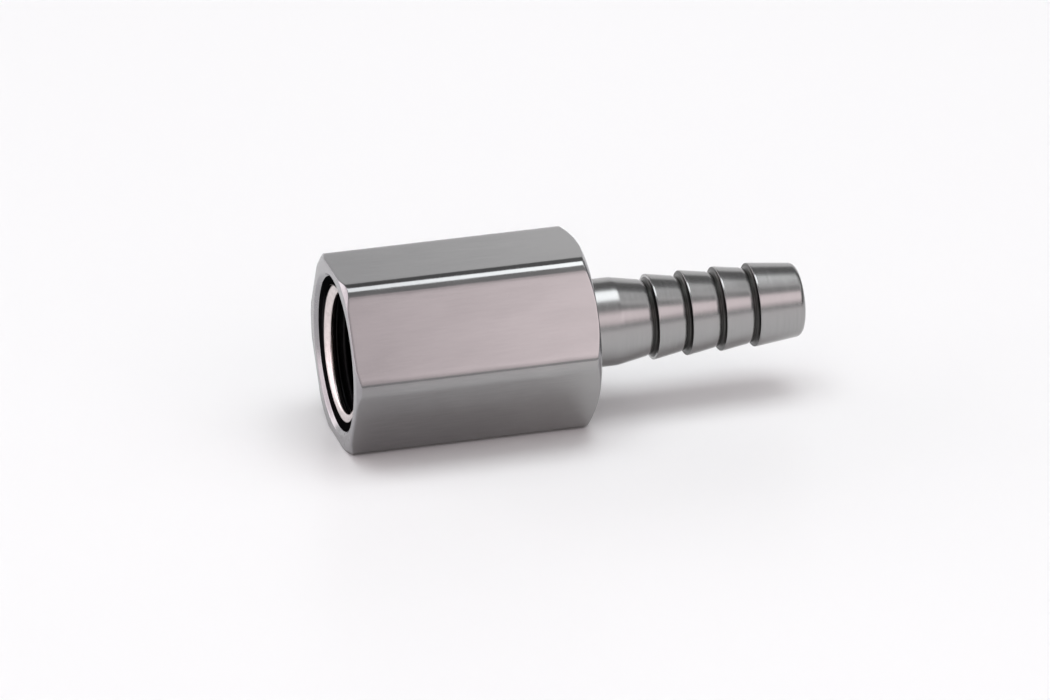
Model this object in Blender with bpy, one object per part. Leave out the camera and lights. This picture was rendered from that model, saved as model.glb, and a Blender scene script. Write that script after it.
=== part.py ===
"""Carbon dioxide diffuser fitting: a hexagonal body with a threaded mouth and a swivelling hose tail.

Gas enters the barbed hose tail, lifts a spring-loaded check poppet, passes through a porous disc and
leaves by the mouth. The fitting lies on one flat of its hexagon with its axis along X: the mouth faces
-X and the hose tail points to +X. Units are metres, +Z is up, and the origin is under the middle of
the fitting, on the surface that it lies on. Every distance below is measured along the axis from the
mouth's face, and every radius from the axis.
"""

import math

import bmesh
import bpy
from mathutils import Matrix

MM = 0.001

# Hexagonal body
ACROSS_FLATS = 17.0 * MM
BODY_LENGTH = 23.7 * MM
CORNER_ROUND = 0.565 * MM
CHAMFER_ANGLE = math.radians(30)
FRONT_RIM_RADIUS = 8.88 * MM
REAR_RIM_RADIUS = 8.4 * MM
MOUTH_RADIUS = 7.28 * MM
COUNTERSINK_DEPTH = 0.5 * MM
BORE_RADIUS = 5.75 * MM
THREAD_MAJOR_RADIUS = 6.58 * MM
REAR_WALL = 1.6 * MM

# Hose tail
TOTAL_LENGTH = 45.0 * MM
TAIL_BORE_RADIUS = 2.5 * MM
NECK_RADIUS = 4.17 * MM
NECK_END = 27.0 * MM
WAIST_RADIUS = 3.65 * MM
BARB_COUNT = 4
FIRST_BARB = 30.5 * MM
BARB_PITCH = 3.3 * MM
BARB_RADIUS = 4.05 * MM
BARB_SHRINK = 0.025 * MM
BARB_LAND = 0.15 * MM
VALLEY_RADIUS = 3.6 * MM
TIP_RADIUS = 3.47 * MM
TIP_ROUND = 0.5 * MM
TIP_ROUND_STEPS = 4
FLANGE_RADIUS = 5.45 * MM
FLANGE_LENGTH = 2.0 * MM
TAIL_RING_WIRE = 0.5 * MM

# Clearances
RUNNING_GAP = 0.15 * MM
STACK_GAP = 0.1 * MM
SEAT_FIT = 0.15 * MM

# Parts behind the threaded socket, in the order that they follow each other from the mouth
SOCKET_DEPTH = 7.6 * MM
FACE_GASKET_THICKNESS = 0.9 * MM
RETAINER_THICKNESS = 1.1 * MM
DISC_THICKNESS = 1.6 * MM
DISC_GASKET_THICKNESS = 0.8 * MM
CAGE_WEB = 0.8 * MM
CAGE_SKIRT = 3.7 * MM
SEAT_THICKNESS = 1.6 * MM
SEAT_RING_WIRE = 0.35 * MM
CIRCLIP_THICKNESS = 0.6 * MM
WASHER_THICKNESS = 0.3 * MM
PASSAGE_RADIUS = 3.9 * MM
SKIRT_INNER_RADIUS = 4.6 * MM
GAS_HOLES = 6
GAS_HOLE_RADIUS = 0.7 * MM
GAS_HOLE_CIRCLE = 3.3 * MM
SPANNER_SLOT = 1.6 * MM
DISC_EDGE = 0.2 * MM

# Check poppet
POPPET_HEAD_RADIUS = 3.4 * MM
POPPET_HEAD = 0.6 * MM
SEAL_THICKNESS = 0.5 * MM
STEM_RADIUS = 0.85 * MM
SEAL_NECK_RADIUS = 1.2 * MM
SEAL_LIP_RADIUS = 1.7 * MM
SEAL_LIP = 0.35 * MM
SEAT_HOLE_RADIUS = 2.1 * MM
SEAT_CHAMFER = 0.4 * MM
SPRING_RADIUS = 2.2 * MM
SPRING_WIRE = 0.15 * MM
SPRING_TURNS = 4.0
SPRING_DEAD_TURNS = 0.75
SPRING_DEAD_PITCH = 0.18  # share of the spring's length that one closed end turn takes
SPRING_STEPS_PER_TURN = 14
SPRING_WIRE_ROUND = 2

# Circlip
CIRCLIP_INNER_RADIUS = 4.75 * MM
CIRCLIP_OUTER_RADIUS = 6.15 * MM
CIRCLIP_OPENING = math.radians(44)
CIRCLIP_STEPS = 30
LUG_RADIUS = 0.85 * MM
LUG_HOLE_RADIUS = 0.4 * MM

# Finishes: colour, roughness, metallic
FINISHES = {
    "body_steel": ((0.50, 0.47, 0.475), 0.22, 1.0),
    "tail_steel": ((0.50, 0.48, 0.48), 0.22, 1.0),
    "spring_steel": ((0.55, 0.56, 0.58), 0.25, 1.0),
    "valve_brass": ((0.62, 0.46, 0.20), 0.25, 1.0),
    "black_rubber": ((0.012, 0.012, 0.013), 0.6, 0.0),
    "white_acetal": ((0.80, 0.80, 0.78), 0.4, 0.0),
    "porous_disc": ((0.55, 0.54, 0.52), 0.85, 0.0),
}

# Fineness of the meshes
SEGMENTS = 48
POPPET_SEGMENTS = 32
HOLE_SEGMENTS = 14
RING_SIDES = 10
CORNER_STEPS = 4
WELD = 1e-7
SHARP_ANGLE = math.radians(30)
CUTTER_OVERSHOOT = 1.0 * MM

AXIS_HEIGHT = ACROSS_FLATS / 2
CORNER_RADIUS = ACROSS_FLATS / math.sqrt(3)

# Stations along the axis
FACE_GASKET_AT = SOCKET_DEPTH
RETAINER_AT = FACE_GASKET_AT + FACE_GASKET_THICKNESS + STACK_GAP
DISC_AT = RETAINER_AT + RETAINER_THICKNESS + STACK_GAP
DISC_GASKET_AT = DISC_AT + DISC_THICKNESS + STACK_GAP
CAGE_AT = DISC_GASKET_AT + DISC_GASKET_THICKNESS + STACK_GAP
SKIRT_END = CAGE_AT + CAGE_WEB + CAGE_SKIRT
SEAT_AT = SKIRT_END + STACK_GAP
CIRCLIP_AT = SEAT_AT + SEAT_THICKNESS + 2 * STACK_GAP
FLANGE_AT = CIRCLIP_AT + CIRCLIP_THICKNESS + 2 * STACK_GAP
REAR_WALL_AT = BODY_LENGTH - REAR_WALL
WASHER_AT = FLANGE_AT + FLANGE_LENGTH + STACK_GAP
SEAL_AT = SEAT_AT - STACK_GAP - SEAL_THICKNESS
HEAD_AT = SEAL_AT - STACK_GAP / 2 - POPPET_HEAD


def clear_scene():
    for old in list(bpy.data.objects):
        bpy.data.objects.remove(old, do_unlink=True)


def material(name, colour, roughness, metallic):
    made = bpy.data.materials.new(name)
    made.use_nodes = True
    made.diffuse_color = (*colour, 1.0)
    shader = made.node_tree.nodes["Principled BSDF"]
    shader.inputs["Base Color"].default_value = (*colour, 1.0)
    shader.inputs["Roughness"].default_value = roughness
    shader.inputs["Metallic"].default_value = metallic
    return made


def add_empty(name):
    """An empty on the fitting's axis, in the plane of the mouth's face."""
    empty = bpy.data.objects.new(name, None)
    empty.location = (-TOTAL_LENGTH / 2, 0, AXIS_HEIGHT)
    bpy.context.scene.collection.objects.link(empty)
    return empty


def add_object(name, shape, parent, finish=None):
    """Makes an object of a bmesh, which it frees. An object with no finish is a cutting tool."""
    mesh = bpy.data.meshes.new(name)
    bmesh.ops.recalc_face_normals(shape, faces=shape.faces)
    shape.to_mesh(mesh)
    shape.free()
    made = bpy.data.objects.new(name, mesh)
    bpy.context.scene.collection.objects.link(made)
    made.parent = parent
    if finish is None:
        made.hide_render = True
        made.display_type = "WIRE"
        return made
    mesh.materials.append(finish)
    mesh.shade_smooth()
    mesh.set_sharp_from_angle(angle=SHARP_ANGLE)
    return made


def boolean(target, tool, operation):
    cut = target.modifiers.new(tool.name, "BOOLEAN")
    cut.operation = operation
    cut.solver = "EXACT"
    cut.object = tool
    return cut


def turned(outline, segments=SEGMENTS):
    """Solid of revolution about X. The outline lists (distance, radius), and closes by itself unless
    both its ends lie on the axis."""
    shape = bmesh.new()
    corners = [shape.verts.new((distance, 0, radius)) for distance, radius in outline]
    pairs = list(zip(corners, corners[1:]))
    if outline[0][1] > 0 or outline[-1][1] > 0:
        pairs.append((corners[-1], corners[0]))
    edges = [shape.edges.new(pair) for pair in pairs]
    bmesh.ops.spin(
        shape, geom=corners + edges, cent=(0, 0, 0), axis=(1, 0, 0), angle=2 * math.pi,
        steps=segments, use_merge=True, use_duplicate=False,
    )
    bmesh.ops.remove_doubles(shape, verts=shape.verts, dist=WELD)
    return shape


def ring_outline(start, thickness, inner, outer):
    """Outline of a plain flat ring."""
    return [
        (start, inner),
        (start, outer),
        (start + thickness, outer),
        (start + thickness, inner),
    ]


def groove_outline(middle, wire, rim):
    """Outline of the groove that an O-ring of this wire radius needs in a rim."""
    half_width = wire + STACK_GAP
    floor = rim - 2 * wire - STACK_GAP
    return [
        (middle - half_width, rim),
        (middle - half_width, floor),
        (middle + half_width, floor),
        (middle + half_width, rim),
    ]


def rod(start, length, radius, offset):
    """Cylinder parallel to the axis, moved off it by offset in Y and Z."""
    shape = bmesh.new()
    place = Matrix.Translation((start + length / 2, *offset)) @ Matrix.Rotation(math.pi / 2, 4, "Y")
    bmesh.ops.create_cone(
        shape, cap_ends=True, segments=HOLE_SEGMENTS, radius1=radius, radius2=radius, depth=length,
        matrix=place,
    )
    return shape


def block(start, length, width, height):
    """Box centred on the axis."""
    shape = bmesh.new()
    bmesh.ops.create_cube(shape, size=1)
    bmesh.ops.scale(shape, verts=shape.verts, vec=(length, width, height))
    bmesh.ops.translate(shape, verts=shape.verts, vec=(start + length / 2, 0, 0))
    return shape


def body_outer(parent, finish):
    """Hexagonal bar with two flats level, its long edges slightly rounded."""
    shape = bmesh.new()
    bmesh.ops.create_cone(
        shape, cap_ends=True, segments=6, radius1=CORNER_RADIUS, radius2=CORNER_RADIUS, depth=BODY_LENGTH
    )
    bmesh.ops.rotate(shape, verts=shape.verts, matrix=Matrix.Rotation(math.pi / 2, 3, "Y"))
    bmesh.ops.translate(shape, verts=shape.verts, vec=(BODY_LENGTH / 2, 0, 0))
    long_edges = [
        edge for edge in shape.edges
        if abs(edge.verts[0].co.x - edge.verts[1].co.x) > BODY_LENGTH / 2
    ]
    bmesh.ops.bevel(
        shape, geom=long_edges, offset=CORNER_ROUND, segments=CORNER_STEPS, profile=0.5, affect="EDGES"
    )
    return add_object("hex_body", shape, parent, finish)


def chamfer_tool(parent):
    """Double cone that takes the corners off both ends of the hexagon."""
    reach = CORNER_RADIUS + CUTTER_OVERSHOOT
    slope = math.tan(CHAMFER_ANGLE)
    outline = [
        (-CUTTER_OVERSHOOT, 0),
        (-CUTTER_OVERSHOOT, FRONT_RIM_RADIUS - CUTTER_OVERSHOOT / slope),
        ((reach - FRONT_RIM_RADIUS) * slope, reach),
        (BODY_LENGTH - (reach - REAR_RIM_RADIUS) * slope, reach),
        (BODY_LENGTH + CUTTER_OVERSHOOT, REAR_RIM_RADIUS - CUTTER_OVERSHOOT / slope),
        (BODY_LENGTH + CUTTER_OVERSHOOT, 0),
    ]
    return add_object("chamfer_tool", turned(outline, 2 * SEGMENTS), parent)


def bore_tool(parent):
    """The body's whole inside: countersink, bore, circlip groove and the hole for the tail's neck."""
    flare = (MOUTH_RADIUS - THREAD_MAJOR_RADIUS) / COUNTERSINK_DEPTH
    groove_radius = CIRCLIP_OUTER_RADIUS + STACK_GAP
    neck_hole = NECK_RADIUS + RUNNING_GAP
    outline = [
        (-CUTTER_OVERSHOOT, 0),
        (-CUTTER_OVERSHOOT, MOUTH_RADIUS + flare * CUTTER_OVERSHOOT),
        (COUNTERSINK_DEPTH, THREAD_MAJOR_RADIUS),
        (COUNTERSINK_DEPTH + THREAD_MAJOR_RADIUS - BORE_RADIUS, BORE_RADIUS),
        (CIRCLIP_AT - STACK_GAP, BORE_RADIUS),
        (CIRCLIP_AT - STACK_GAP, groove_radius),
        (CIRCLIP_AT + CIRCLIP_THICKNESS + STACK_GAP, groove_radius),
        (CIRCLIP_AT + CIRCLIP_THICKNESS + STACK_GAP, BORE_RADIUS),
        (REAR_WALL_AT, BORE_RADIUS),
        (REAR_WALL_AT, neck_hole),
        (BODY_LENGTH + CUTTER_OVERSHOOT, neck_hole),
        (BODY_LENGTH + CUTTER_OVERSHOOT, 0),
    ]
    return add_object("bore_tool", turned(outline), parent)


def make_hex_body(parent, finish):
    body = body_outer(parent, finish)
    boolean(body, chamfer_tool(parent), "INTERSECT")
    boolean(body, bore_tool(parent), "DIFFERENCE")
    return body


def flange_outline():
    """Outer line of the tail's flange, with its O-ring groove, from the bore to the neck."""
    return [
        (FLANGE_AT, TAIL_BORE_RADIUS),
        (FLANGE_AT, FLANGE_RADIUS),
        *groove_outline(FLANGE_AT + FLANGE_LENGTH / 2, TAIL_RING_WIRE, FLANGE_RADIUS),
        (FLANGE_AT + FLANGE_LENGTH, FLANGE_RADIUS),
        (FLANGE_AT + FLANGE_LENGTH, NECK_RADIUS),
    ]


def barb_outline():
    """Each barb steps up square to the axis, has a narrow land, and tapers to the next one's foot."""
    line = [(NECK_END, NECK_RADIUS)]
    for number in range(BARB_COUNT):
        start = FIRST_BARB + number * BARB_PITCH
        crest = BARB_RADIUS - number * BARB_SHRINK
        line.append((start, VALLEY_RADIUS if number else WAIST_RADIUS))
        line.append((start, crest))
        line.append((start + BARB_LAND, crest))
    return line


def tip_outline():
    """Rounded outer edge of the tail's tip, then back along its bore."""
    line = []
    for step in range(TIP_ROUND_STEPS + 1):
        angle = math.pi / 2 * step / TIP_ROUND_STEPS
        distance = TOTAL_LENGTH - TIP_ROUND + TIP_ROUND * math.sin(angle)
        line.append((distance, TIP_RADIUS - TIP_ROUND + TIP_ROUND * math.cos(angle)))
    line.append((TOTAL_LENGTH, TAIL_BORE_RADIUS))
    return line


def make_hose_tail(parent, finish):
    outline = flange_outline() + barb_outline() + tip_outline()
    return add_object("hose_tail", turned(outline), parent, finish)


def make_o_ring(name, middle, wire, parent, finish):
    """Rubber ring that seals against the body's bore."""
    ring = BORE_RADIUS - STACK_GAP - wire
    outline = []
    for side in range(RING_SIDES):
        angle = 2 * math.pi * side / RING_SIDES
        outline.append((middle + wire * math.cos(angle), ring + wire * math.sin(angle)))
    return add_object(name, turned(outline), parent, finish)


def make_thrust_washer(parent, finish):
    inner = NECK_RADIUS + 2 * RUNNING_GAP
    outline = ring_outline(WASHER_AT, WASHER_THICKNESS, inner, BORE_RADIUS - SEAT_FIT)
    return add_object("thrust_washer", turned(outline), parent, finish)


def lug_place(side):
    """Centre, in Y and Z, of the circlip's lug on one side of its opening."""
    angle = side * CIRCLIP_OPENING / 2
    reach = CIRCLIP_INNER_RADIUS + LUG_RADIUS / 2
    return reach * math.sin(angle), reach * math.cos(angle)


def make_circlip(parent, finish):
    """Open ring with a drilled lug at each end, for circlip pliers."""
    shape = bmesh.new()
    outline = ring_outline(CIRCLIP_AT, CIRCLIP_THICKNESS, CIRCLIP_INNER_RADIUS, CIRCLIP_OUTER_RADIUS)
    section = shape.faces.new([shape.verts.new((distance, 0, radius)) for distance, radius in outline])
    bmesh.ops.rotate(shape, verts=shape.verts, matrix=Matrix.Rotation(CIRCLIP_OPENING / 2, 3, "X"))
    bmesh.ops.spin(
        shape, geom=[section], cent=(0, 0, 0), axis=(1, 0, 0), angle=2 * math.pi - CIRCLIP_OPENING,
        steps=CIRCLIP_STEPS, use_duplicate=False,
    )
    clip = add_object("circlip", shape, parent, finish)
    for side in (-1, 1):
        lug = rod(CIRCLIP_AT, CIRCLIP_THICKNESS, LUG_RADIUS, lug_place(side))
        boolean(clip, add_object(f"lug_tool_{side}", lug, parent), "UNION")
    for side in (-1, 1):
        start = CIRCLIP_AT - CUTTER_OVERSHOOT
        length = CIRCLIP_THICKNESS + 2 * CUTTER_OVERSHOOT
        hole = rod(start, length, LUG_HOLE_RADIUS, lug_place(side))
        boolean(clip, add_object(f"lug_hole_tool_{side}", hole, parent), "DIFFERENCE")
    return clip


def make_valve_seat(parent, finish):
    """Ring with a chamfered hole, which the poppet's seal closes, and an O-ring groove in its rim."""
    outer = BORE_RADIUS - SEAT_FIT
    back = SEAT_AT + SEAT_THICKNESS
    outline = [
        (SEAT_AT, SEAT_HOLE_RADIUS + SEAT_CHAMFER / 2),
        (SEAT_AT, outer),
        *groove_outline(SEAT_AT + SEAT_THICKNESS / 2, SEAT_RING_WIRE, outer),
        (back, outer),
        (back, SEAT_HOLE_RADIUS + SEAT_CHAMFER),
        (back - SEAT_CHAMFER, SEAT_HOLE_RADIUS),
        (SEAT_AT + SEAT_CHAMFER / 2, SEAT_HOLE_RADIUS),
    ]
    return add_object("valve_seat", turned(outline), parent, finish)


def make_poppet(parent, finish):
    """Guide stem, head, seal neck and the lip that holds the seal, in one turned piece."""
    stem_end = CAGE_AT + STACK_GAP
    lip_at = SEAL_AT + SEAL_THICKNESS + STACK_GAP
    outline = [
        (stem_end, 0),
        (stem_end, STEM_RADIUS),
        (HEAD_AT, STEM_RADIUS),
        (HEAD_AT, POPPET_HEAD_RADIUS),
        (HEAD_AT + POPPET_HEAD, POPPET_HEAD_RADIUS),
        (HEAD_AT + POPPET_HEAD, SEAL_NECK_RADIUS),
        (lip_at, SEAL_NECK_RADIUS),
        (lip_at, SEAL_LIP_RADIUS),
        (lip_at + SEAL_LIP, SEAL_LIP_RADIUS),
        (lip_at + SEAL_LIP, 0),
    ]
    return add_object("poppet", turned(outline, POPPET_SEGMENTS), parent, finish)


def make_poppet_seal(parent, finish):
    outline = ring_outline(SEAL_AT, SEAL_THICKNESS, SEAL_NECK_RADIUS + SEAT_FIT, POPPET_HEAD_RADIUS)
    return add_object("poppet_seal", turned(outline, POPPET_SEGMENTS), parent, finish)


def spring_advance(turn):
    """Share of the spring's length reached after so many turns: the end coils lie close together."""
    live_turns = SPRING_TURNS - 2 * SPRING_DEAD_TURNS
    live_pitch = (1 - 2 * SPRING_DEAD_TURNS * SPRING_DEAD_PITCH) / live_turns
    if turn < SPRING_DEAD_TURNS:
        return turn * SPRING_DEAD_PITCH
    if turn < SPRING_TURNS - SPRING_DEAD_TURNS:
        return SPRING_DEAD_TURNS * SPRING_DEAD_PITCH + (turn - SPRING_DEAD_TURNS) * live_pitch
    return 1 - (SPRING_TURNS - turn) * SPRING_DEAD_PITCH


def make_valve_spring(parent, finish):
    """Compression spring between the cage's web and the poppet's head."""
    line = bpy.data.curves.new("valve_spring", "CURVE")
    line.dimensions = "3D"
    line.bevel_depth = SPRING_WIRE
    line.bevel_resolution = SPRING_WIRE_ROUND
    line.use_fill_caps = True
    first = CAGE_AT + CAGE_WEB + SPRING_WIRE + STACK_GAP / 2
    last = HEAD_AT - SPRING_WIRE - STACK_GAP / 2
    steps = round(SPRING_TURNS * SPRING_STEPS_PER_TURN)
    wire = line.splines.new("POLY")
    wire.points.add(steps)
    for step in range(steps + 1):
        turn = SPRING_TURNS * step / steps
        angle = 2 * math.pi * turn
        distance = first + (last - first) * spring_advance(turn)
        place = (distance, SPRING_RADIUS * math.sin(angle), SPRING_RADIUS * math.cos(angle), 1)
        wire.points[step].co = place
    line.materials.append(finish)
    spring = bpy.data.objects.new("valve_spring", line)
    bpy.context.scene.collection.objects.link(spring)
    spring.parent = parent
    return spring


def make_valve_cage(parent, finish):
    """Cup that stands on the valve seat: a web with gas holes and a guide hole, and a skirt."""
    outer = BORE_RADIUS - SEAT_FIT
    guide = STEM_RADIUS + RUNNING_GAP
    outline = [
        (CAGE_AT, guide),
        (CAGE_AT, outer),
        (SKIRT_END, outer),
        (SKIRT_END, SKIRT_INNER_RADIUS),
        (CAGE_AT + CAGE_WEB, SKIRT_INNER_RADIUS),
        (CAGE_AT + CAGE_WEB, guide),
    ]
    cage = add_object("valve_cage", turned(outline), parent, finish)
    for number in range(GAS_HOLES):
        angle = 2 * math.pi * number / GAS_HOLES
        offset = (GAS_HOLE_CIRCLE * math.sin(angle), GAS_HOLE_CIRCLE * math.cos(angle))
        start = CAGE_AT - CUTTER_OVERSHOOT
        hole = rod(start, CAGE_WEB + 2 * CUTTER_OVERSHOOT, GAS_HOLE_RADIUS, offset)
        boolean(cage, add_object(f"gas_hole_tool_{number}", hole, parent), "DIFFERENCE")
    return cage


def make_disc_gasket(parent, finish):
    outline = ring_outline(DISC_GASKET_AT, DISC_GASKET_THICKNESS, PASSAGE_RADIUS, BORE_RADIUS - SEAT_FIT)
    return add_object("disc_gasket", turned(outline), parent, finish)


def make_diffuser_disc(parent, finish):
    """Porous disc with its edges broken."""
    outer = BORE_RADIUS - SEAT_FIT
    outline = [
        (DISC_AT, 0),
        (DISC_AT, outer - DISC_EDGE),
        (DISC_AT + DISC_EDGE, outer),
        (DISC_AT + DISC_THICKNESS - DISC_EDGE, outer),
        (DISC_AT + DISC_THICKNESS, outer - DISC_EDGE),
        (DISC_AT + DISC_THICKNESS, 0),
    ]
    return add_object("diffuser_disc", turned(outline), parent, finish)


def make_disc_retainer(parent, finish):
    """Ring with a slot across its front, for a face spanner."""
    outline = ring_outline(RETAINER_AT, RETAINER_THICKNESS, PASSAGE_RADIUS, BORE_RADIUS - SEAT_FIT)
    ring = add_object("disc_retainer", turned(outline), parent, finish)
    slot_depth = RETAINER_THICKNESS / 2
    slot = block(
        RETAINER_AT - CUTTER_OVERSHOOT, CUTTER_OVERSHOOT + slot_depth, SPANNER_SLOT, 3 * BORE_RADIUS
    )
    boolean(ring, add_object("spanner_slot_tool", slot, parent), "DIFFERENCE")
    return ring


def make_face_gasket(parent, finish):
    outline = ring_outline(FACE_GASKET_AT, FACE_GASKET_THICKNESS, PASSAGE_RADIUS, BORE_RADIUS - SEAT_FIT)
    return add_object("face_gasket", turned(outline), parent, finish)


def main():
    clear_scene()
    finish = {name: material(name, *values) for name, values in FINISHES.items()}

    frame = add_empty("fitting_axis")
    make_hex_body(frame, finish["body_steel"])
    make_face_gasket(frame, finish["black_rubber"])
    make_disc_retainer(frame, finish["valve_brass"])
    make_diffuser_disc(frame, finish["porous_disc"])
    make_disc_gasket(frame, finish["black_rubber"])
    make_valve_cage(frame, finish["white_acetal"])
    make_valve_spring(frame, finish["spring_steel"])
    make_valve_seat(frame, finish["valve_brass"])
    seat_middle = SEAT_AT + SEAT_THICKNESS / 2
    make_o_ring("seat_o_ring", seat_middle, SEAT_RING_WIRE, frame, finish["black_rubber"])
    make_circlip(frame, finish["spring_steel"])
    make_thrust_washer(frame, finish["white_acetal"])

    poppet_axis = add_empty("poppet_axis")
    make_poppet(poppet_axis, finish["valve_brass"])
    make_poppet_seal(poppet_axis, finish["black_rubber"])

    swivel_axis = add_empty("swivel_axis")
    make_hose_tail(swivel_axis, finish["tail_steel"])
    flange_middle = FLANGE_AT + FLANGE_LENGTH / 2
    make_o_ring("tail_o_ring", flange_middle, TAIL_RING_WIRE, swivel_axis, finish["black_rubber"])


main()
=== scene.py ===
"""Looks of the carbon dioxide diffuser fitting: fine meshes, procedural finishes, soft studio light.

Distances called "along" are measured from the mouth's face towards the hose tail, and radii from the
fitting's axis. Everything is in metres, in the frame of the CAD model.
"""

import math

import bmesh
import bpy
import numpy as np
from mathutils import Matrix, Vector, noise


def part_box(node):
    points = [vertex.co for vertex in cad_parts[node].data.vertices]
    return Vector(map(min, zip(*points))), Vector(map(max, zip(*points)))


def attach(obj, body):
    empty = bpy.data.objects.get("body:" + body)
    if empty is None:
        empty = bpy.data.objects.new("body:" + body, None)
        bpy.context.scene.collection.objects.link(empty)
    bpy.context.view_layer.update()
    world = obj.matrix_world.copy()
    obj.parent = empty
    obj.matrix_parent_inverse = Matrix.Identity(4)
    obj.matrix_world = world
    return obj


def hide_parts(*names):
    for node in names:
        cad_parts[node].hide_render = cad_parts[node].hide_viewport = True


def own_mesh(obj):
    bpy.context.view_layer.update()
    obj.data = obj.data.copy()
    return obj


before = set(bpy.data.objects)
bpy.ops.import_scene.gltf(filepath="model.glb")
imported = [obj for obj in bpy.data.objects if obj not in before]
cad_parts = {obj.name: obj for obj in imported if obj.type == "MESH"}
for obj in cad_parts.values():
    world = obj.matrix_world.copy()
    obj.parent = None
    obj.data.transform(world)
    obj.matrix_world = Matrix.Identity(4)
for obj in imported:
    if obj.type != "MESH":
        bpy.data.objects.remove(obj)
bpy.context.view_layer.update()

MM = 0.001

body_low, body_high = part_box("hex_body")
tail_low, tail_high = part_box("hose_tail")
MOUTH = body_low.x
AXIS_HEIGHT = (body_low.z + body_high.z) / 2
FLAT_RADIUS = (body_high.z - body_low.z) / 2
BODY_LENGTH = body_high.x - body_low.x
TAIL_END = tail_high.x - MOUTH
FLANGE_AT = tail_low.x - MOUTH

# Hexagonal body
CORNER_TIGHT = 1.5 * MM  # radius of a long edge at its crest
CORNER_SOFT = 1.6 * MM  # how much looser the radius is where the edge runs into the flats
CHAMFER_SLOPE = math.tan(math.radians(30))
FRONT_RIM = 8.88 * MM
REAR_RIM = 8.4 * MM
EDGE_BREAK = 0.08 * MM
MOUTH_RADIUS = 7.7 * MM
COUNTERSINK_DEPTH = 0.38 * MM
STEP_SLOPE = 4.5  # radius lost for each unit of depth behind the countersink
BORE_RADIUS = 5.75 * MM
NECK_HOLE_RADIUS = 4.32 * MM
REAR_WALL = 1.6 * MM
CIRCLIP_GROOVE_RADIUS = 6.25 * MM
CIRCLIP_PLAY = 0.1 * MM

# Thread of the mouth: Whitworth form, quarter inch parallel pipe size
THREAD_PITCH = 1.337 * MM
THREAD_DEPTH = 0.83 * MM
THREAD_ROUND = 0.18 * MM
THREAD_HALF_ANGLE = math.radians(27.5)
THREAD_PHASE = math.radians(-48)
THREAD_RUN_OUT = 1.2 * MM
LIT_THREAD = 1.72 * MM  # depth of the first crest's painted highlight; the roots and the rest of the thread are painted dark as shade
# radius below which the thread's roots are painted dark as shade
PAINTED_SHADE_ROOT_RADIUS = 6.47 * MM
CREST_FADE = 0.05 * MM

# Hose tail
TAIL_BORE = 2.5 * MM
NECK_RADIUS = 4.17 * MM
NECK_END = 27.0 * MM
WAIST_RADIUS = 3.65 * MM
BARB_COUNT = 4
FIRST_BARB = 30.5 * MM
BARB_PITCH = 3.3 * MM
BARB_RADIUS = 4.05 * MM
BARB_SHRINK = 0.025 * MM
BARB_LAND = 0.15 * MM
VALLEY_RADIUS = 3.63 * MM
GROOVE_WIDTH = 0.75 * MM
GROOVE_DEPTH = 0.16 * MM
PAINTED_SHADE_GROOVE_SHARE = 0.8  # share of the groove's width that is painted dark as shade in front of each barb's step
BORE_SKIN = 0.1 * MM  # faces within this of the bore keep the tail's finish, without the painted shade
TIP_RADIUS = 3.47 * MM
TIP_ROUND = 0.5 * MM
FLANGE_RADIUS = 5.45 * MM
FLANGE_LENGTH = 2.0 * MM
RING_GROOVE_HALF_WIDTH = 0.6 * MM
RING_GROOVE_FLOOR = 4.35 * MM

# How far from each corner of the hose tail its rounding starts
FLANGE_ROUND = 0.06 * MM
NECK_ROUND = 0.2 * MM
GROOVE_ENTRY_ROUND = 0.12 * MM
GROOVE_FLOOR_ROUND = 0.15 * MM
BARB_FOOT_ROUND = 0.3 * MM
BARB_CREST_ROUND = 0.05 * MM
BARB_LAND_ROUND = 0.04 * MM
TIP_BORE_ROUND = 0.12 * MM

# Pieces behind the thread
PASSAGE_RADIUS = 3.9 * MM
SPANNER_SLOT = 1.6 * MM
RETAINER_EDGE = 0.08 * MM
GASKET_EDGE = 0.1 * MM
DISC_EDGE = 0.2 * MM
GRAIN_HEIGHT = 0.05 * MM
GRAIN_SIZE = 0.22 * MM
GRAIN_STEEPNESS = 1.6
GRAIN_MEAN = 0.6  # mean height of a grain and how much it varies, as shares of GRAIN_HEIGHT
GRAIN_SPREAD = 0.4

# Spring
SPRING_RADIUS = 2.2 * MM
SPRING_WIRE = 0.15 * MM
SPRING_TURNS = 4.0
SPRING_DEAD_TURNS = 0.75
SPRING_DEAD_PITCH = 0.18

# Fineness
CORNER_COLUMNS = 16
FLAT_COLUMNS = 30
THREAD_ROWS_PER_TURN = 24
TAIL_SEGMENTS = 160
RING_SEGMENTS = 96
FLAT_ROWS = 9
TAIL_ROUND_STEPS = 5
DISC_RINGS = 44
DISC_SEGMENTS = 180
SPRING_STEPS_PER_TURN = 48
SPRING_SIDES = 14
MERGE_DISTANCE = 1e-8
RETAINER_SHARP_ANGLE = math.radians(40)
SPRING_SHARP_ANGLE = math.radians(50)

# Finishes: noise scales are in features per metre
STAIN_SCALE = 260
WAVE_SCALE = 70
WAVE_DEPTH = 0.16 * MM
CREST_GRAIN_SCALE = 1800
MARK_SHARE = 0.6  # of a metal's tone, and the rest of it is stains


# Mesh making

def grid_object(name, along, radius, angle, closed=True):
    """Skin over a grid of points about the axis. along and radius have one row of points for each angle."""
    columns, rows = along.shape
    x = MOUTH + along
    y = radius * np.sin(angle)[:, None]
    z = AXIS_HEIGHT + radius * np.cos(angle)[:, None]
    points = np.stack([x, y, z], axis=-1).reshape(-1, 3)
    column = np.arange(columns)[:, None]
    row = np.arange(rows if closed else rows - 1)[None, :]
    next_column = (column + 1) % columns
    next_row = (row + 1) % rows
    corners = (
        column * rows + row,
        next_column * rows + row,
        next_column * rows + next_row,
        column * rows + next_row,
    )
    faces = np.stack(np.broadcast_arrays(*corners), axis=-1).reshape(-1, 4)
    mesh = bpy.data.meshes.new(name)
    mesh.from_pydata(points.tolist(), [], faces.tolist())
    made = bpy.data.objects.new(name, mesh)
    bpy.context.scene.collection.objects.link(made)
    return made


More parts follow.
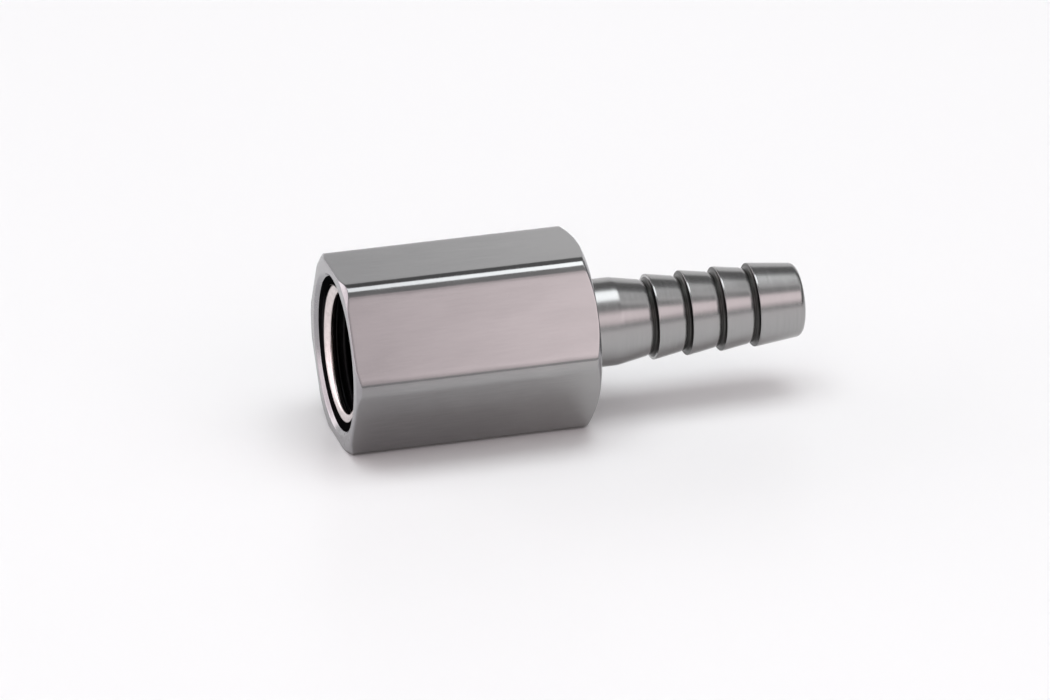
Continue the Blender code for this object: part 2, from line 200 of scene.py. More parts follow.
def paint_faces(made, finish):
    """Gives each face of a grid object the number of its material."""
    made.data.polygons.foreach_set("material_index", finish.reshape(-1).astype(np.int32))


def finish_mesh(made):
    """Closes the poles, turns the faces outwards and shades by the size of each face."""
    shape = bmesh.new()
    shape.from_mesh(made.data)
    bmesh.ops.remove_doubles(shape, verts=shape.verts, dist=MERGE_DISTANCE)
    bmesh.ops.recalc_face_normals(shape, faces=shape.faces)
    shape.to_mesh(made.data)
    shape.free()
    made.data.shade_smooth()
    shading = made.modifiers.new("shading", "WEIGHTED_NORMAL")
    shading.keep_sharp = True
    shading.weight = 50
    return made


def rounded(outline, steps=4):
    """Points of a closed outline of (along, radius, reach). Each corner is an arc that starts reach away."""
    points = []
    for number, (along, radius, reach) in enumerate(outline):
        corner = Vector((along, radius))
        if reach == 0:
            points.append(tuple(corner))
            continue
        before = (Vector(outline[number - 1][:2]) - corner).normalized()
        after = (Vector(outline[(number + 1) % len(outline)][:2]) - corner).normalized()
        half = before.angle(after) / 2
        centre = corner + (before + after).normalized() * reach / math.cos(half)
        first = corner + before * reach - centre
        last = corner + after * reach - centre
        sweep = first.angle(last)
        for step in range(steps + 1):
            share = step / steps
            arm = first * math.sin((1 - share) * sweep) + last * math.sin(share * sweep)
            points.append(tuple(centre + arm / math.sin(sweep)))
    return points


def turned(name, outline, segments=RING_SEGMENTS):
    """Piece turned about the axis. Its outline is closed, or starts and ends on the axis."""
    outline = np.array(outline)
    angle = np.linspace(0, 2 * math.pi, segments, endpoint=False)
    along = np.tile(outline[:, 0], (segments, 1))
    radius = np.tile(outline[:, 1], (segments, 1))
    closed = outline[0, 1] > 0 or outline[-1, 1] > 0
    return finish_mesh(grid_object(name, along, radius, angle, closed))


# The hexagonal body

def corner_section():
    """Half of a long edge's section, from crest to flat, as distances along and across its middle line."""
    steps = CORNER_COLUMNS // 2
    turn = math.radians(30)
    middle = (np.arange(steps) + 0.5) / steps
    radius = CORNER_TIGHT + CORNER_SOFT * middle**2
    across = np.concatenate([[0], np.cumsum(radius * np.cos(middle * turn) * turn / steps)])
    inward = np.concatenate([[0], np.cumsum(radius * np.sin(middle * turn) * turn / steps)])
    crest = (FLAT_RADIUS - across[-1] * math.sin(turn)) / math.cos(turn) + inward[-1]
    return crest - inward, across


def section():
    """Angle and radius of the points around the hexagon's section."""
    outward, across = corner_section()
    corner_angles = np.arctan2(across, outward)
    corner_radii = np.hypot(outward, across)
    half_flat = math.sqrt(corner_radii[-1] ** 2 - FLAT_RADIUS**2)
    flat_place = np.linspace(-half_flat, half_flat, FLAT_COLUMNS + 1)[1:-1]
    flat_angles = np.arctan2(flat_place, FLAT_RADIUS)
    flat_radii = np.hypot(flat_place, FLAT_RADIUS)
    angles = np.concatenate([-corner_angles[::-1], corner_angles[1:], flat_angles + math.radians(30)])
    radii = np.concatenate([corner_radii[::-1], corner_radii[1:], flat_radii])
    sectors = [angles + math.radians(30 + 60 * number) for number in range(6)]
    return np.concatenate(sectors), np.tile(radii, 6)


def thread_radius(along, angle):
    """Inner surface of the right-hand thread."""
    turn = (angle + THREAD_PHASE) / (2 * math.pi)
    share = np.abs((along / THREAD_PITCH + turn) % 1 - 0.5)
    near = np.minimum(share, 0.5 - share) * THREAD_PITCH
    side = np.where(share < 0.25, 1, -1)
    arc_half = THREAD_ROUND * math.cos(THREAD_HALF_ANGLE)
    arc_drop = THREAD_ROUND * (1 - math.sin(THREAD_HALF_ANGLE))
    curve = THREAD_ROUND - np.sqrt(np.maximum(THREAD_ROUND**2 - np.minimum(near, arc_half) ** 2, 0))
    flank = arc_drop + (near - arc_half) / math.tan(THREAD_HALF_ANGLE)
    level = THREAD_DEPTH / 2 - np.where(near < arc_half, curve, flank)
    fade = np.clip((socket_depth() - along) / THREAD_RUN_OUT, 0, 1)
    return BORE_RADIUS + (THREAD_DEPTH / 2 + side * level) * fade


def socket_depth():
    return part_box("face_gasket")[0].x - MOUTH


def countersink_radius(along):
    """A 45 degree countersink, then a steep step down to the thread."""
    lip = EDGE_BREAK * np.maximum(0, 1 - along / EDGE_BREAK) ** 2
    past_countersink = np.maximum(0, along - COUNTERSINK_DEPTH)
    return MOUTH_RADIUS - along - (STEP_SLOPE - 1) * past_countersink + lip


def body_rows(section_radius):
    """Along and radius of the rows from the mouth's lip over the outside to the back of the thread."""
    count = len(section_radius)
    front_radius = np.minimum(FRONT_RIM, section_radius - EDGE_BREAK)
    front_chamfer = np.maximum(EDGE_BREAK, (section_radius - FRONT_RIM) * CHAMFER_SLOPE)
    rear_radius = np.minimum(REAR_RIM, section_radius - EDGE_BREAK)
    rear_chamfer = np.maximum(EDGE_BREAK, (section_radius - REAR_RIM) * CHAMFER_SLOPE)
    soft = EDGE_BREAK / 4
    zero = np.zeros(count)
    lip = zero + MOUTH_RADIUS + EDGE_BREAK
    rows = [
        (zero, lip + soft),
        (zero, (lip + front_radius) / 2),
        (zero, front_radius - soft),
        (zero + soft * CHAMFER_SLOPE, front_radius + soft / 3),
        (front_chamfer - soft, section_radius - soft),
        (front_chamfer + soft, section_radius),
    ]
    flat_start = front_chamfer + 2 * EDGE_BREAK
    flat_end = BODY_LENGTH - rear_chamfer - 2 * EDGE_BREAK
    for share in np.linspace(0, 1, FLAT_ROWS):
        rows.append((flat_start + (flat_end - flat_start) * share, section_radius))
    rows += [
        (BODY_LENGTH - rear_chamfer - soft, section_radius),
        (BODY_LENGTH - rear_chamfer + soft, section_radius - soft),
        (zero + BODY_LENGTH - soft * CHAMFER_SLOPE, rear_radius + soft / 3),
        (BODY_LENGTH + zero, rear_radius - soft),
        (BODY_LENGTH + zero, (rear_radius + NECK_HOLE_RADIUS) / 2),
        (BODY_LENGTH + zero, zero + NECK_HOLE_RADIUS + EDGE_BREAK),
        (BODY_LENGTH - EDGE_BREAK + zero, zero + NECK_HOLE_RADIUS),
        (BODY_LENGTH - REAR_WALL + zero, zero + NECK_HOLE_RADIUS),
        (BODY_LENGTH - REAR_WALL + zero, zero + BORE_RADIUS),
    ]
    clip_low, clip_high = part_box("circlip")
    groove_start = clip_low.x - MOUTH - CIRCLIP_PLAY
    groove_end = clip_high.x - MOUTH + CIRCLIP_PLAY
    for along, radius in (
        (groove_end, BORE_RADIUS),
        (groove_end, CIRCLIP_GROOVE_RADIUS),
        (groove_start, CIRCLIP_GROOVE_RADIUS),
        (groove_start, BORE_RADIUS),
    ):
        rows.append((zero + along, zero + radius))
    return rows


def make_hex_body():
    """Polished hexagon bar, chamfered at both ends, with a countersunk and threaded mouth."""
    angle, section_radius = section()
    rows = body_rows(section_radius)
    first_flat_row = 5  # rows count from the first of body_rows
    rear_chamfer_row = first_flat_row + 1 + FLAT_ROWS
    neck_hole_row = rear_chamfer_row + 6
    depth = socket_depth() + THREAD_RUN_OUT / 2
    steps = round(depth / THREAD_PITCH * THREAD_ROWS_PER_TURN)
    thread_places = np.linspace(depth, EDGE_BREAK, steps)
    lip_places = EDGE_BREAK * np.array([0.75, 0.5, 0.25, 0])
    first_inner = len(rows)
    for along in np.concatenate([thread_places, lip_places]):
        thread = thread_radius(along, angle)
        rows.append((np.full(len(angle), along), np.maximum(thread, countersink_radius(along))))
    along = np.stack([row[0] for row in rows], axis=1)
    radius = np.stack([row[1] for row in rows], axis=1)
    body = grid_object("hexagonal_body", along, radius, angle)
    flats, turned_faces, painted_shade_inside = range(3)
    finish = np.full(along.shape, turned_faces)
    finish[:, first_flat_row:rear_chamfer_row] = flats
    # the bore and thread get the thread steel: painted shade, with a painted highlight on the first crest
    finish[:, neck_hole_row:] = painted_shade_inside
    countersunk = (np.arange(along.shape[1]) >= first_inner) & (along < COUNTERSINK_DEPTH)
    finish[countersunk] = turned_faces
    paint_faces(body, finish)
    return finish_mesh(body)


# The hose tail

def tail_outline():
    """Closed section of the tail: flange with its ring groove, neck, waist, barbs and bore."""
    middle = FLANGE_AT + FLANGE_LENGTH / 2
    line = [
        (FLANGE_AT, TAIL_BORE, FLANGE_ROUND),
        (FLANGE_AT, FLANGE_RADIUS, FLANGE_ROUND),
        (middle - RING_GROOVE_HALF_WIDTH, FLANGE_RADIUS, FLANGE_ROUND),
        (middle - RING_GROOVE_HALF_WIDTH, RING_GROOVE_FLOOR, FLANGE_ROUND),
        (middle + RING_GROOVE_HALF_WIDTH, RING_GROOVE_FLOOR, FLANGE_ROUND),
        (middle + RING_GROOVE_HALF_WIDTH, FLANGE_RADIUS, FLANGE_ROUND),
        (FLANGE_AT + FLANGE_LENGTH, FLANGE_RADIUS, FLANGE_ROUND),
        (FLANGE_AT + FLANGE_LENGTH, NECK_RADIUS, FLANGE_ROUND),
        (NECK_END, NECK_RADIUS, NECK_ROUND),
    ]
    for number in range(BARB_COUNT):
        start = FIRST_BARB + number * BARB_PITCH
        crest = BARB_RADIUS - number * BARB_SHRINK
        valley = VALLEY_RADIUS if number else WAIST_RADIUS
        line += [
            (start - GROOVE_WIDTH, valley, GROOVE_ENTRY_ROUND),
            (start - GROOVE_WIDTH / 2, valley - GROOVE_DEPTH, GROOVE_FLOOR_ROUND),
            (start, valley - GROOVE_DEPTH, BARB_FOOT_ROUND),
            (start, crest, BARB_CREST_ROUND),
            (start + BARB_LAND, crest, BARB_LAND_ROUND),
        ]
    line += [
        (TAIL_END, TIP_RADIUS, TIP_ROUND),
        (TAIL_END, TAIL_BORE, TIP_BORE_ROUND),
    ]
    return rounded(line, TAIL_ROUND_STEPS)


def make_hose_tail():
    """Neck, waist and barbs, with painted shade in the groove in front of each barb's step."""
    outline = np.array(tail_outline())
    angle = np.linspace(0, 2 * math.pi, TAIL_SEGMENTS, endpoint=False)
    along = np.tile(outline[:, 0], (TAIL_SEGMENTS, 1))
    radius = np.tile(outline[:, 1], (TAIL_SEGMENTS, 1))
    tail = grid_object("barbed_hose_tail", along, radius, angle)
    finish = np.zeros(along.shape)
    # painted shade: groove faces in front of each step get the near-black groove steel
    for number in range(BARB_COUNT):
        step = FIRST_BARB + number * BARB_PITCH
        painted_shade_groove = (along > step - GROOVE_WIDTH * PAINTED_SHADE_GROOVE_SHARE) & (along < step)
        finish[painted_shade_groove & (radius > TAIL_BORE + BORE_SKIN)] = 1
    paint_faces(tail, finish)
    return finish_mesh(tail)


# Pieces seen through the mouth

def ring_of(name, node, inner, soft):
    """Flat ring with softened edges in the place of a CAD node."""
    low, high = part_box(node)
    outer = (high.y - low.y) / 2
    start = low.x - MOUTH
    end = high.x - MOUTH
    line = [(start, inner, soft), (start, outer, soft), (end, outer, soft), (end, inner, soft)]
    return turned(name, rounded(line))


def make_disc_retainer():
    """Ring with a spanner slot across its front."""
    ring = ring_of("slotted_disc_retainer", "disc_retainer", PASSAGE_RADIUS, RETAINER_EDGE)
    low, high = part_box("disc_retainer")
    depth = (high.x - low.x) / 2
    shape = bmesh.new()
    bmesh.ops.create_cube(shape, size=1)
    bmesh.ops.scale(shape, verts=shape.verts, vec=(2 * depth, SPANNER_SLOT, 3 * BORE_RADIUS))
    bmesh.ops.translate(shape, verts=shape.verts, vec=(low.x, 0, AXIS_HEIGHT))
    mesh = bpy.data.meshes.new("slot_cutter")
    shape.to_mesh(mesh)
    shape.free()
    cutter = bpy.data.objects.new("slot_cutter", mesh)
    bpy.context.scene.collection.objects.link(cutter)
    cut = ring.modifiers.new("slot", "BOOLEAN")
    cut.operation = "DIFFERENCE"
    cut.solver = "EXACT"
    cut.object = cutter
    apply_modifiers(ring)
    bpy.data.objects.remove(cutter, do_unlink=True)
    ring.data.shade_smooth()
    ring.data.set_sharp_from_angle(angle=RETAINER_SHARP_ANGLE)
    return ring


def apply_modifiers(made):
    bpy.context.view_layer.update()
    graph = bpy.context.evaluated_depsgraph_get()
    mesh = bpy.data.meshes.new_from_object(made.evaluated_get(graph))
    made.modifiers.clear()
    made.data = mesh


def make_diffuser_disc():
    """Porous disc whose faces are made of small sintered grains."""
    low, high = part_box("diffuser_disc")
    outer = (high.y - low.y) / 2
    start = low.x - MOUTH
    end = high.x - MOUTH
    face = np.linspace(0, outer - DISC_EDGE, DISC_RINGS)
    inset = GRAIN_HEIGHT
    outline = [(start + inset, radius) for radius in face]
    outline += [(start + inset + DISC_EDGE, outer - inset), (end - inset - DISC_EDGE, outer - inset)]
    outline += [(end - inset, radius) for radius in face[::-1]]
    disc = turned("sintered_diffuser_disc", outline, DISC_SEGMENTS)
    disc.modifiers.clear()
    middle = (low.x + high.x) / 2
    for vertex in disc.data.vertices:
        grain = noise.cell_vector(vertex.co / GRAIN_SIZE)
        bump = noise.voronoi(vertex.co / GRAIN_SIZE)[0][0]
        side = -1 if vertex.co.x < middle else 1
        on_flat = math.hypot(vertex.co.y, vertex.co.z - AXIS_HEIGHT) < outer - DISC_EDGE * 0.99
        if on_flat:
            height = GRAIN_HEIGHT * (1 - min(1, bump * GRAIN_STEEPNESS))
            vertex.co.x += side * height * (GRAIN_MEAN + GRAIN_SPREAD * grain.x)
    return disc


# Finishes

def tree_of(name):
    made = bpy.data.materials.new(name)
    made.use_nodes = True
    tree = made.node_tree
    return made, tree, tree.nodes["Principled BSDF"]


def noise_of(tree, scale, stretch=(1, 1, 1), detail=3.0, roughness=0.55):
    """Noise over the object's own coordinates. A small stretch on an axis draws its grain out along it."""
    place = tree.nodes.new("ShaderNodeTexCoord")
    mapping = tree.nodes.new("ShaderNodeMapping")
    mapping.inputs["Scale"].default_value = stretch
    grain = tree.nodes.new("ShaderNodeTexNoise")
    grain.inputs["Scale"].default_value = scale
    grain.inputs["Detail"].default_value = detail
    grain.inputs["Roughness"].default_value = roughness
    tree.links.new(place.outputs["Object"], mapping.inputs["Vector"])
    tree.links.new(mapping.outputs["Vector"], grain.inputs["Vector"])
    return grain.outputs["Fac"]


def ranged(tree, value, low, high, start=0.3, end=0.7):
    """Maps a noise value between start and end onto low and high."""
    node = tree.nodes.new("ShaderNodeMapRange")
    node.inputs["From Min"].default_value = start
    node.inputs["From Max"].default_value = end
    node.inputs["To Min"].default_value = low
    node.inputs["To Max"].default_value = high
    tree.links.new(value, node.inputs["Value"])
    return node.outputs["Result"]


def ramped(tree, value, stops):
    """Colour of a value, from stops of (place, colour)."""
    node = tree.nodes.new("ShaderNodeValToRGB")
    ramp = node.color_ramp
    while len(ramp.elements) < len(stops):
        ramp.elements.new(0.5)
    for element, (place, colour) in zip(ramp.elements, stops):
        element.position = place
        element.color = (*colour, 1)
    tree.links.new(value, node.inputs["Fac"])
    return node.outputs["Color"]


def combined(tree, operation, first, second):
    node = tree.nodes.new("ShaderNodeMath")
    node.operation = operation
    for socket, value in zip(node.inputs, (first, second)):
        if isinstance(value, (int, float)):
            socket.default_value = value
        else:
            tree.links.new(value, socket)
    return node.outputs["Value"]


def bumped(tree, shader, height, distance):
    """Adds relief to a shader, over any that it has already."""
    node = tree.nodes.new("ShaderNodeBump")
    for link in shader.inputs["Normal"].links:
        tree.links.new(link.from_socket, node.inputs["Normal"])
    node.inputs["Distance"].default_value = distance
    tree.links.new(height, node.inputs["Height"])
    tree.links.new(node.outputs["Normal"], shader.inputs["Normal"])


def lengthwise(tree, start, end):
    """Rises from 0 to 1 between two places along the fitting."""
    place = tree.nodes.new("ShaderNodeTexCoord")
    parts = tree.nodes.new("ShaderNodeSeparateXYZ")
    tree.links.new(place.outputs["Object"], parts.inputs["Vector"])
    return ranged(tree, parts.outputs["X"], 0, 1, start, end)


def brushed_metal(name, dark, light, roughness, stretch, mark_scale, mark_depth, painted_reflection_drift=0):
    """Metal with fine marks, drawn out along an axis where stretch is small, and soft stains. Its last
    argument is how much of its tone is a painted reflection, lighter from the mouth towards the rear of the
    body."""
    made, tree, shader = tree_of(name)
    shader.inputs["Metallic"].default_value = 1.0
    marks = noise_of(tree, mark_scale, stretch, detail=4.0, roughness=0.65)
    stains = noise_of(tree, STAIN_SCALE, detail=4.0, roughness=0.6)
    mark_tone = combined(tree, "MULTIPLY", marks, MARK_SHARE)
    stain_tone = combined(tree, "MULTIPLY", stains, 1 - MARK_SHARE)
    tone = combined(tree, "ADD", mark_tone, stain_tone)
    low, high = roughness
    tree.links.new(ranged(tree, tone, low, high), shader.inputs["Roughness"])
    bumped(tree, shader, marks, mark_depth)
    # painted reflection: the tone grows lighter from the mouth towards the rear
    if painted_reflection_drift:
        place = lengthwise(tree, body_low.x, body_high.x)
        even = combined(tree, "MULTIPLY", tone, 1 - painted_reflection_drift)
        tone = combined(tree, "ADD", even, combined(tree, "MULTIPLY", place, painted_reflection_drift))
    tree.links.new(ramped(tree, tone, [(0.3, dark), (0.7, light)]), shader.inputs["Base Color"])
    return made


def polished_steel():
    """Steel of the flats, which polishing has left faintly waved, with a painted reflection that lightens
    its tone towards the rear.
    """
    made = brushed_metal(
        "polished_hexagon_steel", (0.272, 0.268, 0.270), (0.366, 0.361, 0.359), (0.12, 0.20),
        stretch=(0.09, 1, 1), mark_scale=4200, mark_depth=0.0011 * MM, painted_reflection_drift=0.45,
    )
    tree = made.node_tree
    waves = noise_of(tree, WAVE_SCALE, stretch=(0.6, 1, 1), roughness=0.5)
    bumped(tree, tree.nodes["Principled BSDF"], waves, WAVE_DEPTH)
    return made


def turned_steel():
    return brushed_metal(
        "turned_face_steel", (0.29, 0.285, 0.295), (0.35, 0.345, 0.355), (0.20, 0.30),
        stretch=(1, 1, 1), mark_scale=1500, mark_depth=0.002 * MM,
    )


def tail_steel():
    return brushed_metal(
        "turned_tail_steel", (0.34, 0.337, 0.335), (0.39, 0.385, 0.382), (0.20, 0.28),
        stretch=(1, 0.04, 0.04), mark_scale=4000, mark_depth=0.0015 * MM,
    )


def groove_steel():
    # painted shade: near-black steel that stands in for the shadow in the tail's grooves
    return brushed_metal(
        "groove_painted_shade_steel", (0.05, 0.05, 0.048), (0.10, 0.10, 0.095), (0.30, 0.42),
        stretch=(1, 0.04, 0.04), mark_scale=4000, mark_depth=0.002 * MM,
    )


def painted_highlight_crest(tree):
    """Mask of the painted highlight: 1 on the thread's first crest, and 0 on its roots and on the rest of
    it, where the shade is painted.
    """
    place = tree.nodes.new("ShaderNodeTexCoord")
    arm = tree.nodes.new("ShaderNodeVectorMath")
    arm.operation = "SUBTRACT"
    arm.inputs[1].default_value = (MOUTH, 0, AXIS_HEIGHT)
    tree.links.new(place.outputs["Object"], arm.inputs[0])
    parts = tree.nodes.new("ShaderNodeSeparateXYZ")
    tree.links.new(arm.outputs["Vector"], parts.inputs["Vector"])
    y_square = combined(tree, "POWER", parts.outputs["Y"], 2)
    z_square = combined(tree, "POWER", parts.outputs["Z"], 2)
    radius = combined(tree, "SQRT", combined(tree, "ADD", y_square, z_square), 0)
    above_root = ranged(tree, radius, 1, 0, PAINTED_SHADE_ROOT_RADIUS - CREST_FADE, PAINTED_SHADE_ROOT_RADIUS + CREST_FADE)
    near_mouth = ranged(tree, parts.outputs["X"], 1, 0, LIT_THREAD - CREST_FADE, LIT_THREAD + CREST_FADE)
    return combined(tree, "MULTIPLY", above_root, near_mouth)


def thread_steel():
    """Thread and bore painted near-black as shade, with a painted highlight in a pale pinkish colour on the
    first crest. The painted shade is kept from shining where it is seen edge on."""
    made = brushed_metal(
        "thread_painted_shade_and_highlight", (0.010, 0.010, 0.011), (0.022, 0.021, 0.022), (0.40, 0.55),
        stretch=(1, 1, 1), mark_scale=2500, mark_depth=0.004 * MM,
    )
    tree = made.node_tree
    shader = tree.nodes["Principled BSDF"]
    colour = shader.inputs["Base Color"].links[0].from_socket
    crest = painted_highlight_crest(tree)
    mix = tree.nodes.new("ShaderNodeMix")
    mix.data_type = "RGBA"
    tree.links.new(crest, mix.inputs["Factor"])
    tree.links.new(colour, mix.inputs["A"])
    # painted highlight: a pale pinkish colour on the first crest
    grain = noise_of(tree, CREST_GRAIN_SCALE)
    painted_highlight_colour = ramped(tree, grain, [(0.35, (0.62, 0.56, 0.55)), (0.65, (0.72, 0.65, 0.64))])
    tree.links.new(painted_highlight_colour, mix.inputs["B"])
    tree.links.new(mix.outputs["Result"], shader.inputs["Base Color"])
    tree.links.new(ranged(tree, crest, 0.46, 0.26, 0, 1), shader.inputs["Roughness"])
    # painted shade: the dark part's specular tint is cut nearly to black
    painted_shade_specular_tint = ramped(tree, crest, [(0, (0.06, 0.06, 0.06)), (1, (1, 1, 1))])
    tree.links.new(painted_shade_specular_tint, shader.inputs["Specular Tint"])
    return made


def turned_brass():
    return brushed_metal(
        "turned_brass", (0.55, 0.39, 0.16), (0.68, 0.51, 0.24), (0.2, 0.32),
        stretch=(1, 1, 1), mark_scale=2600, mark_depth=0.003 * MM,
    )


def spring_steel():
    return brushed_metal(
        "drawn_spring_steel", (0.42, 0.43, 0.45), (0.60, 0.61, 0.63), (0.2, 0.33),
        stretch=(1, 1, 1), mark_scale=3200, mark_depth=0.002 * MM,
    )


def matt_material(name, dark, light, roughness, scale, depth):
    """Rubber, plastic or ceramic with a fine grain in its colour, its roughness and its relief."""
    made, tree, shader = tree_of(name)
    grain = noise_of(tree, scale, detail=5.0, roughness=0.6)
    tree.links.new(ramped(tree, grain, [(0.35, dark), (0.65, light)]), shader.inputs["Base Color"])
    low, high = roughness
    tree.links.new(ranged(tree, grain, low, high), shader.inputs["Roughness"])
    bumped(tree, shader, grain, depth)
    return made


def black_rubber():
    return matt_material(
        "black_rubber", (0.008, 0.008, 0.009), (0.022, 0.022, 0.023), (0.5, 0.7),
        scale=3500, depth=0.01 * MM,
    )


def white_acetal():
    return matt_material(
        "white_acetal", (0.74, 0.74, 0.71), (0.84, 0.84, 0.82), (0.35, 0.5),
        scale=2200, depth=0.005 * MM,
    )


def sintered_disc():
    return matt_material(
        "sintered_disc", (0.34, 0.33, 0.31), (0.66, 0.65, 0.62), (0.75, 0.95),
        scale=4200, depth=0.03 * MM,
    )


def dress(piece, *materials):
    """Gives a piece its finishes. Clearing resets the faces' numbers, so it is only done where needed."""
    if piece.data.materials:
        piece.data.materials.clear()
    for material in materials:
        piece.data.materials.append(material)


# Spring

def spring_advance(turn):
    """Share of the spring's length that a turn has reached. The dead turns at each end lie close."""
    live_turns = SPRING_TURNS - 2 * SPRING_DEAD_TURNS
    live_pitch = (1 - 2 * SPRING_DEAD_TURNS * SPRING_DEAD_PITCH) / live_turns
    if turn < SPRING_DEAD_TURNS:
        return turn * SPRING_DEAD_PITCH
    if turn < SPRING_TURNS - SPRING_DEAD_TURNS:
        return SPRING_DEAD_TURNS * SPRING_DEAD_PITCH + (turn - SPRING_DEAD_TURNS) * live_pitch
    return 1 - (SPRING_TURNS - turn) * SPRING_DEAD_PITCH


def make_valve_spring():
    """Wire swept along its helix, closed at both ends."""
    low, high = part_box("valve_spring")
    first = low.x + SPRING_WIRE
    last = high.x - SPRING_WIRE
    steps = round(SPRING_TURNS * SPRING_STEPS_PER_TURN)
    shape = bmesh.new()
    loops = []
    for step in range(steps + 1):
        turn = SPRING_TURNS * step / steps
        angle = 2 * math.pi * turn
        radial = Vector((0, math.sin(angle), math.cos(angle)))
        place = first + (last - first) * spring_advance(turn)
        centre = Vector((place, 0, AXIS_HEIGHT)) + radial * SPRING_RADIUS
        loop = []
        for side in range(SPRING_SIDES):
            spin = 2 * math.pi * side / SPRING_SIDES
            offset = radial * math.cos(spin) + Vector((1, 0, 0)) * math.sin(spin)
            loop.append(shape.verts.new(centre + offset * SPRING_WIRE))
        loops.append(loop)
    for before, after in zip(loops, loops[1:]):
        for side in range(SPRING_SIDES):
            other = (side + 1) % SPRING_SIDES
            shape.faces.new((before[side], before[other], after[other], after[side]))
    shape.faces.new(loops[0])
    shape.faces.new(loops[-1])
    bmesh.ops.recalc_face_normals(shape, faces=shape.faces)
    mesh = bpy.data.meshes.new("coiled_valve_spring")
    shape.to_mesh(mesh)
    shape.free()
    mesh.shade_smooth()
    mesh.set_sharp_from_angle(angle=SPRING_SHARP_ANGLE)
    spring = bpy.data.objects.new("coiled_valve_spring", mesh)
    bpy.context.scene.collection.objects.link(spring)
    return spring


def add_pieces():
    steel = {
        "flats": polished_steel(), "turned": turned_steel(), "thread": thread_steel(), "tail": tail_steel(),
        "groove": groove_steel(),
    }
    rubber = black_rubber()
    brass = turned_brass()
    spring_finish = spring_steel()
    acetal = white_acetal()

    body = make_hex_body()
    dress(body, steel["flats"], steel["turned"], steel["thread"])
    join_frame(body, "body", "hex_body")

    tail = make_hose_tail()
    dress(tail, steel["tail"], steel["groove"])
    join_frame(tail, "tail", "hose_tail")

    gasket = ring_of("rubber_face_gasket", "face_gasket", PASSAGE_RADIUS, GASKET_EDGE)
    dress(gasket, rubber)
    join_frame(gasket, "body", "face_gasket")

    retainer = make_disc_retainer()
    dress(retainer, brass)
    join_frame(retainer, "body", "disc_retainer")

    disc = make_diffuser_disc()
    dress(disc, sintered_disc())
    join_frame(disc, "body", "diffuser_disc")

    spring = make_valve_spring()
    dress(spring, spring_finish)
    join_frame(spring, "body", "valve_spring")
    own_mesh(spring)

    carried_over = {
        "disc_gasket": rubber, "tail_o_ring": rubber, "seat_o_ring": rubber, "poppet_seal": rubber,
        "valve_cage": acetal, "thrust_washer": acetal, "valve_seat": brass, "poppet": brass,
        "circlip": spring_finish,
    }
    for node, finish in carried_over.items():
        dress(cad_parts[node], finish)


def join_frame(piece, body, node):
    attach(piece, body)
    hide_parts(node)


# Studio

CAMERA_AZIMUTH = math.radians(-14.39)
CAMERA_ELEVATION = math.radians(22.53)
CAMERA_ROLL = math.radians(-1.2)
CAMERA_DISTANCE = 0.952
AIM_RIGHT = 17.87 * MM
AIM_UP = 0.40 * MM
LENS = 349.7
SENSOR = 36.0
CLIP_START = 0.01
CLIP_END = 10
FLOOR_HALF_WIDTH = 3
WORLD_STRENGTH = 0.19


def camera_axes():
    a, b, c = CAMERA_AZIMUTH, CAMERA_ELEVATION, CAMERA_ROLL
    back = Vector((math.sin(a) * math.cos(b), -math.cos(a) * math.cos(b), math.sin(b)))
    level = Vector((math.cos(a), math.sin(a), 0))
    upright = back.cross(level)
    right = math.cos(c) * level + math.sin(c) * upright
    up = math.cos(c) * upright - math.sin(c) * level
    return right, up, back


def add_camera():
    right, up, back = camera_axes()
    data = bpy.data.cameras.new("camera")
    data.sensor_width = SENSOR
    data.lens = LENS
    data.clip_start = CLIP_START
    data.clip_end = CLIP_END
    camera = bpy.data.objects.new("camera", data)
    mouth = Vector((MOUTH, 0, AXIS_HEIGHT))
    place = mouth + back * CAMERA_DISTANCE + right * AIM_RIGHT + up * AIM_UP
    camera.matrix_world = Matrix.Translation(place) @ Matrix((right, up, back)).transposed().to_4x4()
    bpy.context.scene.collection.objects.link(camera)
    bpy.context.scene.camera = camera


def add_floor():
    """Large pale floor that the hexagon lies on."""
    shape = bmesh.new()
    bmesh.ops.create_grid(shape, x_segments=8, y_segments=8, size=FLOOR_HALF_WIDTH)
    mesh = bpy.data.meshes.new("floor")
    shape.to_mesh(mesh)
    shape.free()
    floor = bpy.data.objects.new("floor", mesh)
    bpy.context.scene.collection.objects.link(floor)
    made, tree, shader = tree_of("pale_floor")
    mottle = noise_of(tree, 3.0, detail=2.0, roughness=0.5)
    pale = ramped(tree, mottle, [(0.3, (0.86, 0.86, 0.86)), (0.7, (0.89, 0.89, 0.89))])
    tree.links.new(pale, shader.inputs["Base Color"])
    shader.inputs["Roughness"].default_value = 0.35
    shader.inputs["Specular IOR Level"].default_value = 0.3
    floor.data.materials.append(made)


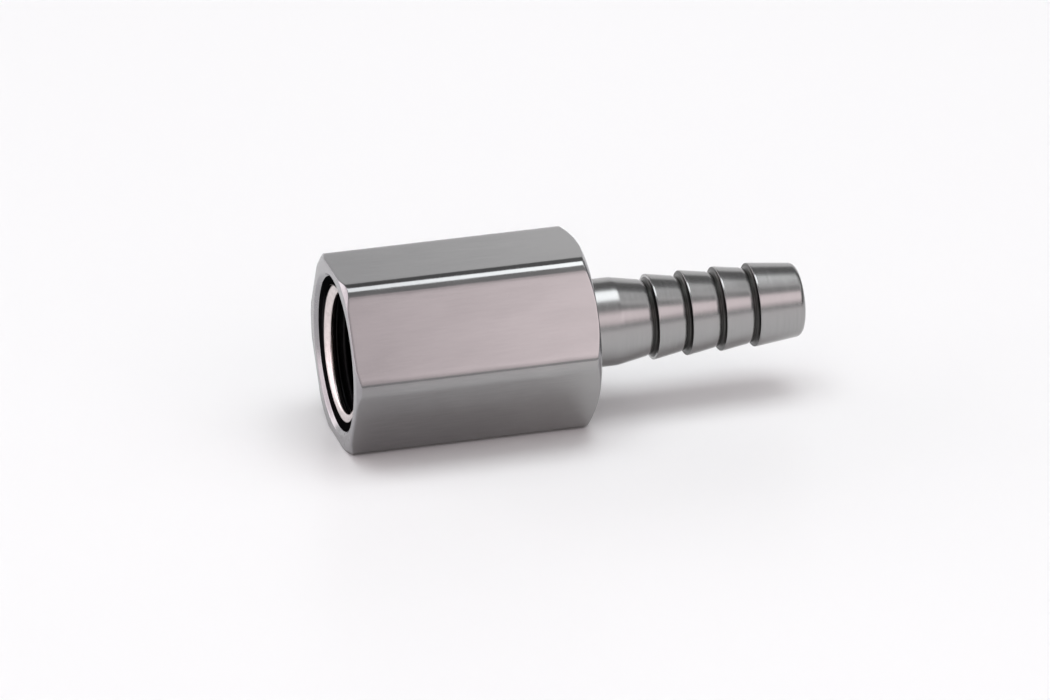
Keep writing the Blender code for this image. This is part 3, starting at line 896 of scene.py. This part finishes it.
def add_card(name, direction, distance, width, height, radiance, colour, glossy=True):
    """Rectangular soft light that faces the fitting. direction points from the fitting to it. One that
    is not glossy lights surfaces without being seen in them."""
    data = bpy.data.lights.new(name, "AREA")
    data.shape = "RECTANGLE"
    data.size = width
    data.size_y = height
    data.color = colour
    data.energy = radiance * width * height * math.pi
    card = bpy.data.objects.new(name, data)
    away = Vector(direction).normalized()
    card.location = away * distance
    card.rotation_euler = away.to_track_quat("Z", "Y").to_euler()
    card.visible_glossy = glossy
    bpy.context.scene.collection.objects.link(card)


def elevated(azimuth, elevation):
    """Direction at an azimuth from -Y towards +X and an elevation, both in degrees."""
    a, e = math.radians(azimuth), math.radians(elevation)
    return (math.sin(a) * math.cos(e), -math.cos(a) * math.cos(e), math.sin(e))


def add_lights():
    world = bpy.data.worlds.new("studio")
    world.use_nodes = True
    world.node_tree.nodes["Background"].inputs["Color"].default_value = (0.98, 0.98, 1.0, 1)
    world.node_tree.nodes["Background"].inputs["Strength"].default_value = WORLD_STRENGTH
    bpy.context.scene.world = world
    pinkish = (1.0, 0.87, 0.895)
    neutral = (1.0, 0.99, 1.0)
    # name, direction, distance, width, height, radiance, colour
    add_card("overhead_softbox", (0.0, 0.07, 1.0), 0.7, 0.60, 0.40, 2.65, (0.94, 0.98, 1.0))
    add_card("back_card", elevated(180, 15.5), 1.6, 3.4, 0.89, 0.70, (0.99, 0.99, 1.0))
    add_card("front_card", elevated(0, 30), 1.5, 2.6, 0.97, 0.92, pinkish)
    add_card("front_right_card", elevated(38, 29), 1.4, 1.13, 0.54, 0.6, pinkish)
    add_card("front_low_card", elevated(0, 5), 1.6, 3.0, 0.39, 0.35, neutral)
    add_card("front_high_card", elevated(0, 63), 1.2, 2.4, 0.64, 0.22, neutral)
    add_card("right_card", (0.67, -0.04, 0.74), 1.2, 0.78, 1.1, 0.5, neutral)
    add_card("left_card", elevated(-112, 14), 1.5, 2.2, 0.95, 2.0, (1.0, 0.89, 0.92))
    add_card("floor_fill", (0, 0, 1), 2.2, 3.0, 3.0, 0.70, (1.0, 1.0, 1.0), glossy=False)


add_camera()
add_pieces()
add_floor()
add_lights()
bpy.context.scene.view_settings.view_transform = "Standard"
